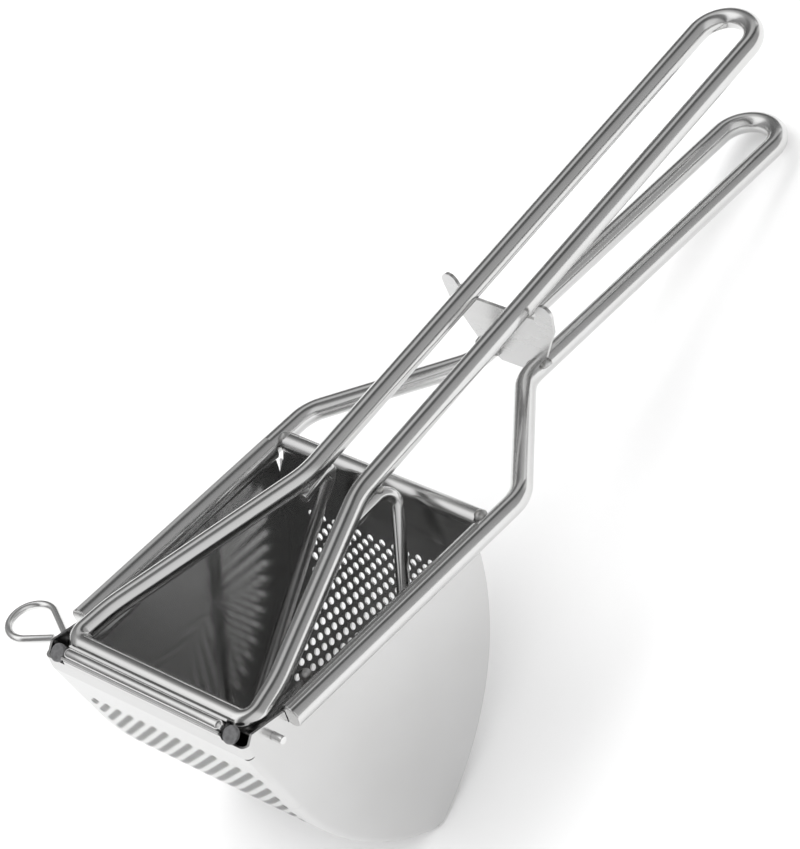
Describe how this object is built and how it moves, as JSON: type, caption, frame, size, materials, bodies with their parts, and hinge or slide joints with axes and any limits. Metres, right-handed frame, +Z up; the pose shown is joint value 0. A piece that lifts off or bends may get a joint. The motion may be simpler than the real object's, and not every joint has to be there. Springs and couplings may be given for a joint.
{
  "type": "potato ricer",
  "caption": "Wire-handled potato ricer with a wedge-shaped perforated hopper, a hinged presser plate and a removable hinge pin.",
  "frame": {"origin": "centre of the bounding box in X and Y, at the floor the ricer stands on", "axes": "+X to the right across the hopper, along the hinge pin; +Y from the hinge towards the handle ends; +Z up"},
  "size_m": [0.1382, 0.3516, 0.1169],
  "materials": {
    "side_sheet": "satin stainless sheet",
    "sieve_sheet": "satin stainless perforated sheet",
    "polished_rod": "polished stainless rod",
    "pin_wire": "polished stainless wire",
    "weld_metal": "cleaned weld",
    "dark_stud": "dark unpolished steel end"
  },
  "bodies": {
    "frame": {"left_side_plate": "side_sheet", "right_side_plate": "side_sheet", "front_sieve": "sieve_sheet", "back_sieve": "sieve_sheet", "lower_handle_rod": "polished_rod", "back_cross_rod": "polished_rod", "front_cross_rod": "polished_rod", "front_corner_studs": "dark_stud", "handle_cradle": "side_sheet", "frame_welds": "weld_metal"},
    "presser": {"upper_handle_rod": "polished_rod", "hinge_tube": "weld_metal", "left_strut": "polished_rod", "right_strut": "polished_rod", "presser_plate": "sieve_sheet", "presser_arms": "side_sheet", "presser_welds": "weld_metal"},
    "pin": {"hinge_pin": "pin_wire"}
  },
  "joints": [
    {"name": "presser_hinge", "type": "hinge", "parent": "frame", "child": "presser", "pos_m": [0.01192, -0.16366, 0.10365], "axis": [1, 0, 0], "range_deg": [0, 68]},
    {"name": "pin_pull", "type": "slide", "parent": "frame", "child": "pin", "axis": [-1, 0, 0], "range_m": [0, 0.11]}
  ]
}
